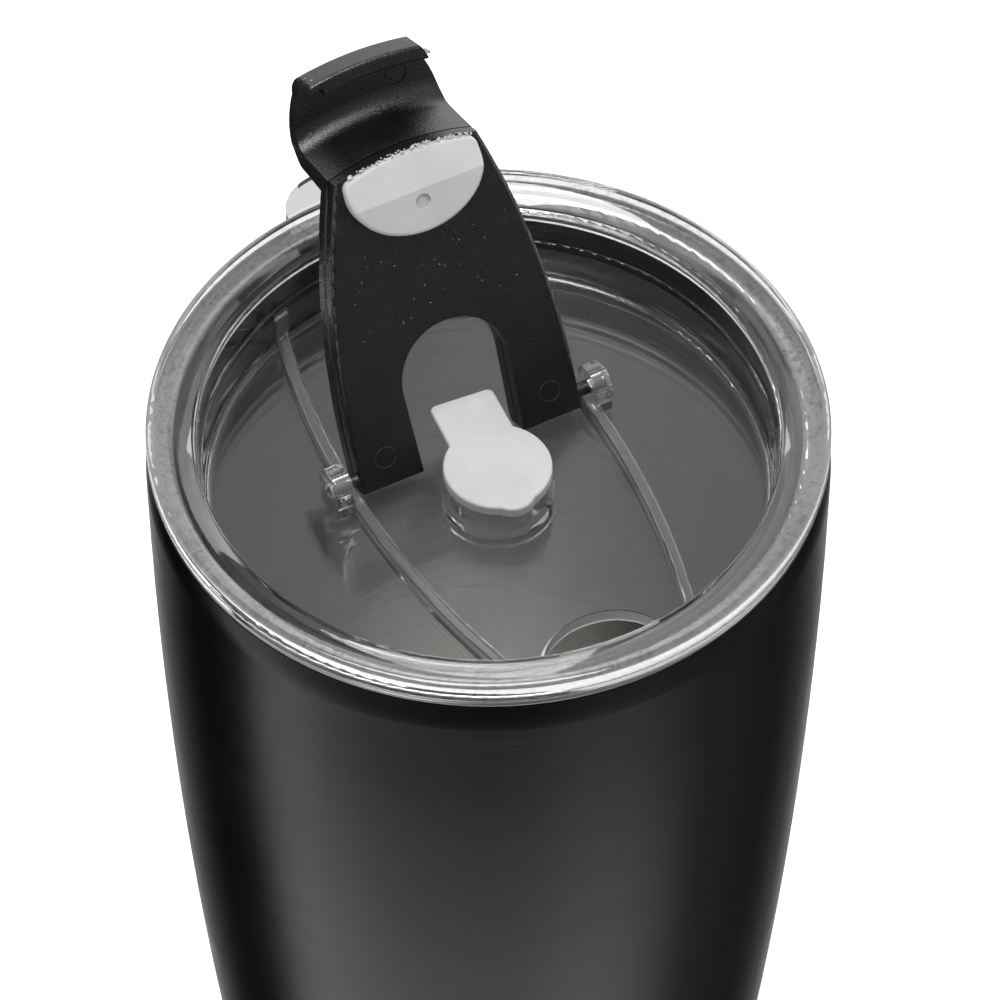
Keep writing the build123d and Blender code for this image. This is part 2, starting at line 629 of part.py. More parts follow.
def hook_outline():
    """Right half of the neck and the hook seen from above, then its mirror."""
    foot = (lever_edge(CREASE_Y - 3), CREASE_Y - 3)
    waist = (lever_edge(CREASE_Y) + 0.1, CREASE_Y + 2)
    shoulder = (8.9, CREASE_Y + 8.6)
    tip = (6.4, LIP_OUT + 0.7)
    Line((0, foot[1]), foot)
    ThreePointArc(foot, (lever_edge(CREASE_Y - 0.5), CREASE_Y - 0.5), waist)
    ThreePointArc(waist, (10.1, CREASE_Y + 5.4), shoulder)
    ThreePointArc(shoulder, (8.25, LIP_OUT - 1.1), tip)
    Line(tip, (0, tip[1]))
    mirror(about=Plane.YZ)


with BuildPart() as neck:
    with BuildSketch(LEVER_SIDE):
        with BuildLine():
            FilletPolyline(
                (NECK_LOW, SHELL_LOW),
                (NECK_HIGH, HOOK_UNDER),
                (LIP_IN, HOOK_UNDER),
                (LIP_IN, HOOK_TIP),
                (LIP_OUT, HOOK_TIP),
                (LIP_OUT, HOOK_TOP),
                (NECK_HIGH - NECK_T, HOOK_TOP),
                (NECK_LOW - NECK_T, SHELL_LOW),
                radius=(3.2, 0.5, 0.3, 0.6, 1.6, 3.0),
            )
            Line((NECK_LOW - NECK_T, SHELL_LOW), (NECK_LOW, SHELL_LOW))
        make_face()
    revolve(axis=SHUT_AXIS)
    with BuildSketch(LEVER.offset(SHELL_LOW - 1)):
        with BuildLine():
            hook_outline()
        make_face()
    extrude(amount=HOOK_TOP + 2, mode=Mode.INTERSECT)
    # the lip's inner half is a barb that stops short of one end
    with BuildSketch(LEVER.offset(HOOK_TIP - 1)):
        with Locations((0, AXIS_Y)):
            Circle(HOOK_IN + HOOK_BARB)
            Circle(HOOK_IN - HOOK_BARB, mode=Mode.SUBTRACT)
        with Locations((HOOK_BARB_W, AXIS_Y)):
            Rectangle(HOOK_IN, 3 * HOOK_IN, align=(Align.MIN, Align.CENTER), mode=Mode.INTERSECT)
    extrude(amount=HOOK_UNDER - HOOK_TIP + 1, mode=Mode.SUBTRACT)
    with BuildSketch(LEVER.offset(HOOK_UNDER)):
        with Locations(HOOK_MARK):
            Circle(MARK_R)
            Circle(MARK_R - MARK_LINE, mode=Mode.SUBTRACT)
    extrude(amount=MARK_DEPTH, mode=Mode.SUBTRACT)

with BuildPart() as lever_shell:
    with BuildSketch(LEVER.offset(SHELL_LOW)):
        with BuildLine():
            lever_outline()
        make_face()
    extrude(amount=SHELL_T)
    fillet(long_edges(lever_shell, SHELL_LOW), radius=SIDE_ROUND)
    with BuildSketch(LEVER.offset(SHELL_LOW - GAP_T)):
        with BuildLine():
            lever_outline()
        make_face()
        offset(amount=-LAND_INSET)
    extrude(amount=GAP_T)
    with BuildSketch(LEVER_SIDE.offset(-LEG_OUT - 1)):
        with Locations((0, 0)):
            Rectangle(2 * HEEL_R, 2 * HEEL_R, align=(Align.MAX, Align.MIN))
            Circle(HEEL_R, mode=Mode.SUBTRACT)
    extrude(amount=2 * LEG_OUT + 2, mode=Mode.SUBTRACT)
    add(neck.part)
finish(lever_shell, "lever_shell")

# --- Seal pad on the lever's underside ----------------------------------------
PAD_LOW = LEVER_LOW - PAD_H
PAD_END_R = END_R - 0.3


def is_pad_rim(edge):
    """True for the ridge and for the curved edges of the pad's face and bevel."""
    place = LEVER.to_local_coords(edge.center())
    ridge = edge.geom_type == GeomType.LINE and abs(place.X) < PAD_ROUND and place.Z < PAD_LOW + PAD_ROUND
    curved = edge.geom_type != GeomType.LINE and place.Z < LEVER_LOW - PAD_END_T - PAD_ROUND / 6
    return ridge or curved


with BuildPart() as lever_seal:
    with BuildSketch(LEVER.offset(PAD_LOW)) as pad:
        with Locations((0, PAD_Y)):
            Ellipse(PAD_A, PAD_B)
        with Locations((0, PAD_Y)):
            Rectangle(2 * PAD_A, PAD_B, align=(Align.CENTER, Align.MAX), mode=Mode.INTERSECT)
        with Locations((0, PAD_Y)):
            Rectangle(2 * PAD_A, PAD_B, align=(Align.CENTER, Align.MIN))
        with Locations((0, AXIS_Y)):
            Circle(PAD_END_R, mode=Mode.INTERSECT)
        fillet(pad.vertices().sort_by(Axis.Y)[-2:], radius=PAD_CORNER)
    extrude(amount=PAD_H)
    with BuildSketch(LEVER_SIDE.offset(-PAD_A - 1)):
        with BuildLine():
            Polyline(
                (PAD_RIDGE_Y, PAD_LOW),
                (PAD_END_Y + 1, PAD_LOW),
                (PAD_END_Y + 1, LEVER_LOW - PAD_END_T),
                (PAD_END_Y, LEVER_LOW - PAD_END_T),
                close=True,
            )
        make_face()
    extrude(amount=2 * PAD_A + 2, mode=Mode.SUBTRACT)
    fillet(lever_seal.edges().filter_by(is_pad_rim), radius=PAD_ROUND)
    with BuildSketch(LEVER.offset(PAD_LOW)):
        with Locations((0, STUD_Y)):
            Circle(DIMPLE_R)
    extrude(amount=DIMPLE_DEPTH, mode=Mode.SUBTRACT)
    with BuildSketch(LEVER.offset(LEVER_LOW)):
        with Locations((0, STUD_Y)):
            Circle(STUD_R - 0.05)
    extrude(amount=PLATE_T - 0.1)
finish(lever_seal, "lever_seal")
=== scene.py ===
import json
import math
import random

import bmesh
import bpy
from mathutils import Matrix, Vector


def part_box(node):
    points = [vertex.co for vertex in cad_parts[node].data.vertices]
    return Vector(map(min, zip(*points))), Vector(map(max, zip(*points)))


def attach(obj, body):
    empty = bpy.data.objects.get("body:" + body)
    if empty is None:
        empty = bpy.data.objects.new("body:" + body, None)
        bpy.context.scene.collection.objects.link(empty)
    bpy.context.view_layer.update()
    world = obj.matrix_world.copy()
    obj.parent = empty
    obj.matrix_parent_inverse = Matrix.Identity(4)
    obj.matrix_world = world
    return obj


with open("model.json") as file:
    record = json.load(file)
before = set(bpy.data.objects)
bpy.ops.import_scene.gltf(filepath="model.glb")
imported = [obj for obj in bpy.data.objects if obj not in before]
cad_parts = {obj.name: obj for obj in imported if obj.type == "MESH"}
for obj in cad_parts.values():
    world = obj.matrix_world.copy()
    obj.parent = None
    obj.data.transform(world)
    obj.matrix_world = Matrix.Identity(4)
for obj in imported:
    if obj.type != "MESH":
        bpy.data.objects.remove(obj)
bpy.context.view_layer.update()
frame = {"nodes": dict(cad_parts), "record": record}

# The insulated travel mug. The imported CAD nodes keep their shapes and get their
# finishes here. Metres, +Z up, drink hole towards -Y, lift tab towards +Y.

LID_LOW, LID_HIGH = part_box("lid_body")
FLANGE_TOP = Vector((0, 0, LID_HIGH.z))
LID_FLOOR = LID_LOW.z + 0.0029   # top of the lid's floor
WELL_RADIUS = 0.0379
DRINK_HOLE_Y = -0.0336
DRINK_HOLE_REACH = (0.0095, 0.0081)   # half length and half width of the cut's haze

# Where each zone of the lid fades in: from none at the first offset to full at the second.
WELL_FADE = (0, -0.0006)           # outwards from the well's radius, like the next two
FLANGE_FADE = (0.0034, 0.0042)
BAND_END_FADE = (0.0068, 0.0060)
RIB_FADE = (0.0001, 0.0005)        # upwards from the lid's floor, like the next two
RIB_TOP_FADE = (0.0031, 0.0027)    # the hinge eyes stand above this
CUT_FADE = (-0.00005, -0.0003)
LIFT_TAB_FADE = (0, 0.0004)        # outwards from the flange's edge
HOLE_FADE = (0.02, -0.02)          # from the drink hole's edge, as a share of its reach

# How much of the light each zone of the lid scatters instead of letting it through.
LID_HAZE = {"ribs": 0.045, "inside": 0.01, "cut": 0.6, "eyes": 0.03, "specks": 0.2}
# How far the clear plastic is tinted from its light to its dark colour: painted shade on the flange, the
# walls outside the well and the lift tab.
FLANGE_PAINTED_SHADE = 0.4
WALL_PAINTED_SHADE = 0.25
LIFT_TAB_PAINTED_SHADE = 0.72

# --- Camera ------------------------------------------------------------------
CAMERA_DISTANCE = 0.75
CAMERA_AZIMUTH = math.radians(-27.8)
CAMERA_ELEVATION = math.radians(49.62)
CAMERA_LENS = 204.2
AIM_RIGHT = 0.0015
AIM_DOWN = 0.0109


def make_camera():
    """A long lens above the drink-hole side, aimed a little below the flange."""
    back = Vector((
        math.sin(CAMERA_AZIMUTH) * math.cos(CAMERA_ELEVATION),
        -math.cos(CAMERA_AZIMUTH) * math.cos(CAMERA_ELEVATION),
        math.sin(CAMERA_ELEVATION),
    ))
    level = (-back).to_track_quat("-Z", "Y")
    aim = FLANGE_TOP + level @ Vector((AIM_RIGHT, -AIM_DOWN, 0))
    data = bpy.data.cameras.new("camera")
    data.sensor_width = 36
    data.lens = CAMERA_LENS
    data.clip_start = 0.05
    data.clip_end = 50
    camera = bpy.data.objects.new("camera", data)
    camera.location = FLANGE_TOP + back * CAMERA_DISTANCE
    camera.rotation_euler = (aim - camera.location).to_track_quat("-Z", "Y").to_euler()
    bpy.context.scene.collection.objects.link(camera)
    bpy.context.scene.camera = camera


# --- Materials ---------------------------------------------------------------
def new_material(name):
    """A node material with its Principled shader: (material, nodes, links, shader)."""
    made = bpy.data.materials.new(name)
    made.use_nodes = True
    nodes = made.node_tree.nodes
    return made, nodes, made.node_tree.links, nodes["Principled BSDF"]


def row_coords(nodes, links, scale):
    """Row-frame coordinates times scale, which is one number or one for each axis."""
    coords = nodes.new("ShaderNodeTexCoord")
    mapping = nodes.new("ShaderNodeMapping")
    mapping.inputs["Scale"].default_value = (scale,) * 3 if isinstance(scale, (int, float)) else scale
    links.new(coords.outputs["Object"], mapping.inputs["Vector"])
    return mapping.outputs["Vector"]


def noise(nodes, links, scale, detail=2.0, roughness=0.5, distortion=0.0):
    """A noise value over the surface. scale is per metre, for all axes or each."""
    texture = nodes.new("ShaderNodeTexNoise")
    texture.inputs["Scale"].default_value = 1.0
    texture.inputs["Detail"].default_value = detail
    texture.inputs["Roughness"].default_value = roughness
    texture.inputs["Distortion"].default_value = distortion
    links.new(row_coords(nodes, links, scale), texture.inputs["Vector"])
    return texture.outputs["Fac"]


def remap(nodes, links, value, low, high, to_low, to_high):
    """value taken from low..high to to_low..to_high, clamped."""
    node = nodes.new("ShaderNodeMapRange")
    node.inputs["From Min"].default_value = low
    node.inputs["From Max"].default_value = high
    node.inputs["To Min"].default_value = to_low
    node.inputs["To Max"].default_value = to_high
    links.new(value, node.inputs["Value"])
    return node.outputs["Result"]


def spread(nodes, links, value, to_low, to_high):
    """A noise value, most of which lies in 0.3 to 0.7, taken to to_low..to_high."""
    return remap(nodes, links, value, 0.3, 0.7, to_low, to_high)


def blend_colours(nodes, links, factor, first, second):
    """A colour between first and second."""
    node = nodes.new("ShaderNodeMix")
    node.data_type = "RGBA"
    links.new(factor, node.inputs["Factor"])
    node.inputs["A"].default_value = (*first, 1)
    node.inputs["B"].default_value = (*second, 1)
    return node.outputs["Result"]


def bump(nodes, links, height, distance, strength=1.0, under=None):
    """A normal from height, in metres at distance, over another bump's normal."""
    node = nodes.new("ShaderNodeBump")
    node.inputs["Strength"].default_value = strength
    node.inputs["Distance"].default_value = distance
    links.new(height, node.inputs["Height"])
    if under is not None:
        links.new(under, node.inputs["Normal"])
    return node.outputs["Normal"]


def step_of(nodes, links, value, low, high):
    """0 on low's side, 1 on high's side, and smooth between. low may be the larger one."""
    node = nodes.new("ShaderNodeMapRange")
    node.interpolation_type = "SMOOTHSTEP"
    node.inputs["From Min"].default_value = low
    node.inputs["From Max"].default_value = high
    links.new(value, node.inputs["Value"])
    return node.outputs["Result"]


def math_node(nodes, links, operation, first, second):
    """A math node on two values, either of which may be a number."""
    node = nodes.new("ShaderNodeMath")
    node.operation = operation
    for socket, value in zip(node.inputs, (first, second)):
        if isinstance(value, (int, float)):
            socket.default_value = value
        else:
            links.new(value, socket)
    return node.outputs[0]


def product(nodes, links, first, second):
    """first times second."""
    return math_node(nodes, links, "MULTIPLY", first, second)


def length_of(nodes, links, vector, scale, shift=(0, 0, 0)):
    """The length of vector times scale plus shift."""
    moved = nodes.new("ShaderNodeVectorMath")
    moved.operation = "MULTIPLY_ADD"
    links.new(vector, moved.inputs[0])
    moved.inputs[1].default_value = scale
    moved.inputs[2].default_value = shift
    length = nodes.new("ShaderNodeVectorMath")
    length.operation = "LENGTH"
    links.new(moved.outputs[0], length.inputs[0])
    return length.outputs["Value"]


def place_on_mug(nodes, links):
    """Row-frame coordinates, their distance from the mug's axis, and their height."""
    coords = row_coords(nodes, links, 1.0)
    parts = nodes.new("ShaderNodeSeparateXYZ")
    links.new(coords, parts.inputs[0])
    return coords, length_of(nodes, links, coords, (1, 1, 0)), parts.outputs["Z"]


def ring_noise(nodes, links, reach, height, scale, detail):
    """A noise value by distance from the mug's axis and by height: lathe marks."""
    spot = nodes.new("ShaderNodeCombineXYZ")
    links.new(reach, spot.inputs["X"])
    links.new(height, spot.inputs["Z"])
    texture = nodes.new("ShaderNodeTexNoise")
    texture.inputs["Scale"].default_value = scale
    texture.inputs["Detail"].default_value = detail
    texture.inputs["Roughness"].default_value = 0.6
    links.new(spot.outputs[0], texture.inputs["Vector"])
    return texture.outputs["Fac"]


def coated_steel():
    """Satin black coating over horizontally brushed steel."""
    made, nodes, links, shader = new_material("black_coating")
    strokes = noise(nodes, links, (30, 30, 2600), detail=3.0, roughness=0.6)
    broad = noise(nodes, links, (9, 9, 60), detail=2.0)
    grain = noise(nodes, links, 5200, detail=1.0)
    colour = spread(nodes, links, strokes, 0.0, 1.0)
    links.new(
        blend_colours(nodes, links, colour, (0.0018, 0.0018, 0.0019), (0.0034, 0.0034, 0.0035)),
        shader.inputs["Base Color"],
    )
    fine_gloss = spread(nodes, links, strokes, 0.17, 0.23)
    broad_gloss = spread(nodes, links, broad, -0.03, 0.03)
    links.new(math_node(nodes, links, "ADD", fine_gloss, broad_gloss), shader.inputs["Roughness"])
    lines = bump(nodes, links, strokes, 0.000007)
    links.new(bump(nodes, links, grain, 0.000004, under=lines), shader.inputs["Normal"])
    shader.inputs["Specular IOR Level"].default_value = 0.5
    return made


def bare_steel():
    """Stainless steel turned on a lathe: fine rings round the mug's axis."""
    made, nodes, links, shader = new_material("bare_steel")
    _, reach, height = place_on_mug(nodes, links)
    rings = ring_noise(nodes, links, reach, height, 2400, detail=3.0)
    stain = noise(nodes, links, 90, detail=3.0)
    tone = product(
        nodes, links,
        spread(nodes, links, stain, 0.7, 1),
        remap(nodes, links, rings, 0.35, 0.65, 0.75, 1),
    )
    links.new(
        blend_colours(nodes, links, tone, (0.34, 0.33, 0.315), (0.56, 0.55, 0.53)),
        shader.inputs["Base Color"],
    )
    links.new(spread(nodes, links, rings, 0.26, 0.36), shader.inputs["Roughness"])
    links.new(bump(nodes, links, rings, 0.0000006), shader.inputs["Normal"])
    shader.inputs["Metallic"].default_value = 1.0
    return made


def lid_zones(nodes, links):
    """Masks of the lid's zones by name, and the distance from the axis and the height."""
    coords, reach, height = place_on_mug(nodes, links)

    def zone(value, edge, fade):
        return step_of(nodes, links, value, edge + fade[0], edge + fade[1])

    inside = zone(reach, WELL_RADIUS, WELL_FADE)
    above_floor = product(nodes, links, inside, zone(height, LID_FLOOR, RIB_FADE))
    ribs = product(nodes, links, above_floor, zone(height, LID_FLOOR, RIB_TOP_FADE))
    half_length, half_width = DRINK_HOLE_REACH
    from_hole = length_of(
        nodes, links, coords, (1 / half_length, 1 / half_width, 0), (0, -DRINK_HOLE_Y / half_width, 0)
    )
    cut = product(nodes, links, zone(from_hole, 1, HOLE_FADE), zone(height, LID_FLOOR, CUT_FADE))
    flange = zone(reach, WELL_RADIUS, FLANGE_FADE)
    zones = {
        "inside": inside,
        "ribs": ribs,
        "eyes": math_node(nodes, links, "SUBTRACT", above_floor, ribs),
        "cut": cut,
        "flange": flange,
        "flat_band": product(nodes, links, flange, zone(reach, WELL_RADIUS, BAND_END_FADE)),
        "lift_tab": zone(reach, LID_HIGH.x, LIFT_TAB_FADE),
    }
    return zones, reach, height


def see_through_to_lamps(nodes, links, shader, colour):
    """Puts shader on the surface, and lets the lamps' light through it in colour."""
    path = nodes.new("ShaderNodeLightPath")
    through = nodes.new("ShaderNodeBsdfTransparent")
    through.inputs["Color"].default_value = (*colour, 1)
    choose = nodes.new("ShaderNodeMixShader")
    links.new(path.outputs["Is Shadow Ray"], choose.inputs["Fac"])
    links.new(shader.outputs["BSDF"], choose.inputs[1])
    links.new(through.outputs["BSDF"], choose.inputs[2])
    links.new(choose.outputs["Shader"], nodes["Material Output"].inputs["Surface"])


def clear_plastic():
    """Clear moulded plastic with painted shade: greyer on the flange, walls and lift tab, and in noisy
    patches on the flat band; a little hazy on the ribs.
    """
    made, nodes, links, shader = new_material("clear_plastic")
    zones, reach, height = lid_zones(nodes, links)
    zones["specks"] = step_of(nodes, links, noise(nodes, links, 2600, detail=1.0), 0.78, 0.82)
    haze = 0.0
    for zone, amount in LID_HAZE.items():
        haze = math_node(nodes, links, "ADD", haze, product(nodes, links, zones[zone], amount))
    links.new(
        math_node(nodes, links, "SUBTRACT", 1.0, haze), shader.inputs["Transmission Weight"]
    )
    # Painted shade: the colour darkens in noisy patches on the flange's flat band, and evenly on the
    # flange, the walls outside the well and the lift tab.
    shade_speckle = step_of(nodes, links, noise(nodes, links, 1300, detail=4.0, roughness=0.75), 0.40, 0.60)
    patch = noise(nodes, links, 160, detail=4.0, roughness=0.7)
    painted_shade = product(
        nodes, links, product(nodes, links, zones["flat_band"], shade_speckle),
        remap(nodes, links, patch, 0.35, 0.65, 0.5, 1.0),
    )
    for other in (
        product(nodes, links, zones["flange"], FLANGE_PAINTED_SHADE),
        math_node(nodes, links, "SUBTRACT", WALL_PAINTED_SHADE, zones["inside"]),
        product(nodes, links, zones["lift_tab"], LIFT_TAB_PAINTED_SHADE),
    ):
        painted_shade = math_node(nodes, links, "MAXIMUM", painted_shade, other)
    links.new(
        blend_colours(nodes, links, painted_shade, (0.86, 0.865, 0.87), (0.30, 0.30, 0.305)),
        shader.inputs["Base Color"],
    )
    rub = noise(nodes, links, 900, detail=3.0, roughness=0.6)
    links.new(remap(nodes, links, rub, 0.45, 0.8, 0.03, 0.10), shader.inputs["Roughness"])
    turned = product(
        nodes, links, ring_noise(nodes, links, reach, height, 1700, detail=2.0),
        math_node(nodes, links, "SUBTRACT", 1.0, zones["inside"]),
    )
    lines = bump(nodes, links, turned, 0.0000015)
    links.new(lines, shader.inputs["Normal"])
    links.new(lines, shader.inputs["Coat Normal"])
    shader.inputs["IOR"].default_value = 1.5
    shader.inputs["Coat Weight"].default_value = 0.6
    shader.inputs["Coat Roughness"].default_value = 0.01
    see_through_to_lamps(nodes, links, shader, (0.90, 0.905, 0.91))
    return made


def grained_plastic():
    """Black moulded plastic with a fine spark-eroded grain."""
    made, nodes, links, shader = new_material("black_plastic")
    grain = noise(nodes, links, 3400, detail=2.0, roughness=0.7)
    cloud = noise(nodes, links, 160, detail=3.0)
    colour = spread(nodes, links, cloud, 0, 1)
    links.new(
        blend_colours(nodes, links, colour, (0.0035, 0.0035, 0.0036), (0.0065, 0.0065, 0.0067)),
        shader.inputs["Base Color"],
    )
    links.new(spread(nodes, links, grain, 0.17, 0.29), shader.inputs["Roughness"])
    links.new(bump(nodes, links, grain, 0.00007), shader.inputs["Normal"])
    shader.inputs["Specular IOR Level"].default_value = 0.55
    return made


def soft_silicone(name, dark, light, roughness):
    """Moulded silicone between two close colours, with a dusty satin face."""
    made, nodes, links, shader = new_material(name)
    cloud = noise(nodes, links, 220, detail=4.0, roughness=0.6)
    dust = noise(nodes, links, 3600, detail=2.0)
    links.new(
        blend_colours(nodes, links, spread(nodes, links, cloud, 0, 1), dark, light),
        shader.inputs["Base Color"],
    )
    links.new(
        spread(nodes, links, dust, roughness - 0.07, roughness + 0.07),
        shader.inputs["Roughness"],
    )
    links.new(bump(nodes, links, dust, 0.000012), shader.inputs["Normal"])
    return made


def one_noise_finish(name, scale, low, high, gloss, depth, **noise_settings):
    """A finish whose colour, roughness and relief follow one noise: (material, shader)."""
    made, nodes, links, shader = new_material(name)
    marks = noise(nodes, links, scale, **noise_settings)
    links.new(blend_colours(nodes, links, marks, low, high), shader.inputs["Base Color"])
    links.new(spread(nodes, links, marks, *gloss), shader.inputs["Roughness"])
    links.new(bump(nodes, links, marks, depth), shader.inputs["Normal"])
    return made, shader


def rolled_foil():
    """Bright copper foil with rolling marks and small creases."""
    made, shader = one_noise_finish(
        "copper_foil", 260, (0.62, 0.33, 0.22), (0.80, 0.50, 0.36), (0.16, 0.34), 0.0002,
        detail=5.0, roughness=0.7, distortion=0.6,
    )
    shader.inputs["Metallic"].default_value = 1.0
    return made


def sintered_metal():
    """Dull, porous pressed powder."""
    made, shader = one_noise_finish(
        "getter_metal", 2200, (0.10, 0.095, 0.09), (0.30, 0.29, 0.28), (0.55, 0.8), 0.0001,
        detail=4.0, roughness=0.7,
    )
    shader.inputs["Metallic"].default_value = 0.7
    return made


def solder_bead():
    """Dark glassy bead with small swirls."""
    made, _ = one_noise_finish(
        "seal_bead", 500, (0.05, 0.06, 0.055), (0.16, 0.18, 0.17), (0.1, 0.22), 0.00005,
        detail=2.0, distortion=1.5,
    )
    return made


def dress_nodes():
    """Gives every CAD node the finish of its material slot."""
    finishes = {
        "black_coating": coated_steel(),
        "bare_steel": bare_steel(),
        "clear_plastic": clear_plastic(),
        "black_plastic": grained_plastic(),
        "copper_foil": rolled_foil(),
        "getter_metal": sintered_metal(),
        "seal_bead": solder_bead(),
    }
    for slot, dark, light, roughness in (
        ("grey_silicone", (0.44, 0.44, 0.44), (0.49, 0.49, 0.487), 0.5),
        ("black_silicone", (0.006, 0.006, 0.006), (0.012, 0.012, 0.012), 0.38),
        ("black_rubber", (0.012, 0.012, 0.012), (0.022, 0.022, 0.021), 0.72),
    ):
        finishes[slot] = soft_silicone(slot, dark, light, roughness)
    for subpart in frame["record"]["subparts"]:
        mesh = frame["nodes"][subpart["node"]].data
        mesh.materials.clear()
        mesh.materials.append(finishes[subpart["material_slot"]])


# --- Small detail on the mouldings --------------------------------------------
HINGE = Vector(frame["record"]["behaviour"]["joints"][2]["pos_m"])
OPEN_LEAN = math.radians(65)
ALONG = Vector((0, math.cos(OPEN_LEAN), math.sin(OPEN_LEAN)))
OUTWARD = Vector((0, math.sin(OPEN_LEAN), -math.cos(OPEN_LEAN)))
LID_AXIS_Y = HINGE.y + 0.0001   # the lid's axis, in the shut lever's own frame
END_RADIUS = 0.0374          # rounded end of the lever, from the lid's axis
PLATE_FACE = -0.0012         # the plate's open face, on the lever's underside

# The round moulding mark on each leg of the plate.
MARK_PLACE = (0.0124, 0.0022)
MARK_RADIUS = 0.00148
MARK_LINE = 0.00005
MARK_RAISE = 0.00001

# Grains along the seal pad's rounded end, in patches. x, y, z are in the lever's frame.
FLASH_GRAINS = 110
FLASH_X = (-0.0093, 0.0090)
FLASH_OVER_EDGE = (-0.0002, 0.0001)
FLASH_Z = (-0.0019, -0.0012)
FLASH_WAVES = (900, 2300)
FLASH_SIZE = 0.0001
FLASH_EXTRA_SIZE = 0.00018

# The hook's torn end, and the bead left on its other end.
TORN_GRAINS = 36
TORN_X = (0.0062, 0.0080)
TORN_Y = (0.0518, 0.0532)
TORN_Z = (0.0068, 0.0094)
TORN_SIZE = (0.00008, 0.0002)
SPRUE_GRAINS = 3
SPRUE_START = (-0.0091, 0.0513, 0.0082)
SPRUE_STEP = (-0.0001, 0, -0.0004)
SPRUE_SIZE = 0.00035

# Dust on the lever's plate, and on the lid's floor away from what stands on it.
PLATE_DUST = 40
PLATE_DUST_X = (-0.012, 0.012)
PLATE_DUST_Y = (0.019, 0.031)
PLATE_DUST_RAISE = 0.00002
PLATE_DUST_SIZE = (0.00003, 0.00007)
FLOOR_DUST = 70
FLOOR_DUST_SPAN = (-0.034, 0.034)
FLOOR_DUST_REACH = 0.035     # from the mug's axis
FLOOR_DUST_RAISE = 0.00003
FLOOR_DUST_SIZE = (0.00003, 0.00008)
HOLES_FRONT_Y = -0.024       # the drink hole lies in front of this
COLLAR_Y = -0.0026
COLLAR_REACH = 0.0085
RAIL_X = 0.0165
RAIL_REACH = 0.004


def on_lever(x, y, z):
    """The place of a point of the lever's frame: y along the lever, z to its outer face."""
    return HINGE + Vector((-x, 0, 0)) + ALONG * y + OUTWARD * z


def plain_finish(name, low, high, roughness, transmission=0.0):
    """A mottled finish for small leftovers of moulding."""
    made, shader = one_noise_finish(
        name, 2400, low, high, (roughness - 0.1, roughness + 0.1), 0.00005, detail=3.0
    )
    shader.inputs["Transmission Weight"].default_value = transmission
    return made


def lumps(name, body, material, spots, dice):
    """Small uneven grains as one mesh. spots holds (centre, size) pairs."""
    shape = bmesh.new()
    for centre, size in spots:
        made = bmesh.ops.create_icosphere(shape, subdivisions=1, radius=1.0)
        stretch = Vector((dice.uniform(0.7, 1.5), dice.uniform(0.6, 1.1), dice.uniform(0.6, 1.1))) * size
        for vertex in made["verts"]:
            rough = dice.uniform(0.75, 1.2)
            vertex.co = centre + Vector(a * b * rough for a, b in zip(vertex.co, stretch))
    mesh = bpy.data.meshes.new(name)
    shape.to_mesh(mesh)
    shape.free()
    mesh.materials.append(material)
    for face in mesh.polygons:
        face.use_smooth = True
    grains = bpy.data.objects.new(name, mesh)
    bpy.context.scene.collection.objects.link(grains)
    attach(grains, body)


def mark_rims():
    """The raised rims of the two round moulding marks on the lever's legs, in a lighter grey that is a
    painted highlight.
    """
    # Painted highlight: the rims are lighter than the black plastic, standing for light caught on their
    # edges.
    rim_highlight = plain_finish("mark_rim_highlight", (0.012, 0.012, 0.012), (0.06, 0.06, 0.06), 0.35)
    across, along = MARK_PLACE
    for side, x in (("left", across), ("right", -across)):
        bpy.ops.mesh.primitive_torus_add(
            location=on_lever(x, along, PLATE_FACE - MARK_RAISE),
            rotation=OUTWARD.to_track_quat("Z", "Y").to_euler(),
            major_segments=64, minor_segments=8, major_radius=MARK_RADIUS, minor_radius=MARK_LINE,
        )
        ring = bpy.context.object
        ring.name = f"mark_rim_highlight_{side}"
        ring.data.materials.append(rim_highlight)
        for face in ring.data.polygons:
            face.use_smooth = True
        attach(ring, "lever")


def pad_flash(dice):
    """Pale uneven flash along the rounded end of the seal pad."""
    flash = plain_finish("pale_flash", (0.42, 0.42, 0.42), (0.78, 0.78, 0.77), 0.45, 0.2)
    edge = []
    coarse, fine = FLASH_WAVES
    for _ in range(FLASH_GRAINS):
        x = dice.uniform(*FLASH_X)
        patch = 0.5 + 0.5 * math.sin(x * coarse) * math.sin(x * fine + 1)
        y = LID_AXIS_Y + math.sqrt(END_RADIUS**2 - x**2) + dice.uniform(*FLASH_OVER_EDGE)
        place = on_lever(x, y, dice.uniform(*FLASH_Z))
        edge.append((place, FLASH_SIZE + FLASH_EXTRA_SIZE * patch * dice.random()))
    lumps("pad_flash", "lever", flash, edge, dice)


def hook_leftovers(dice):
    """The torn end of the hook's lip, and a clear bead at its other end."""
    worn = plain_finish("worn_edge", (0.12, 0.12, 0.12), (0.50, 0.50, 0.50), 0.5)
    torn = []
    for _ in range(TORN_GRAINS):
        place = on_lever(dice.uniform(*TORN_X), dice.uniform(*TORN_Y), dice.uniform(*TORN_Z))
        torn.append((place, dice.uniform(*TORN_SIZE)))
    lumps("hook_flash", "lever", worn, torn, dice)
    clear = plain_finish("clear_sprue", (0.8, 0.78, 0.74), (0.95, 0.94, 0.92), 0.12, 0.9)
    sprue = []
    for i in range(SPRUE_GRAINS):
        place = on_lever(*(start + step * i for start, step in zip(SPRUE_START, SPRUE_STEP)))
        sprue.append((place, SPRUE_SIZE))
    lumps("hook_sprue", "lever", clear, sprue, dice)


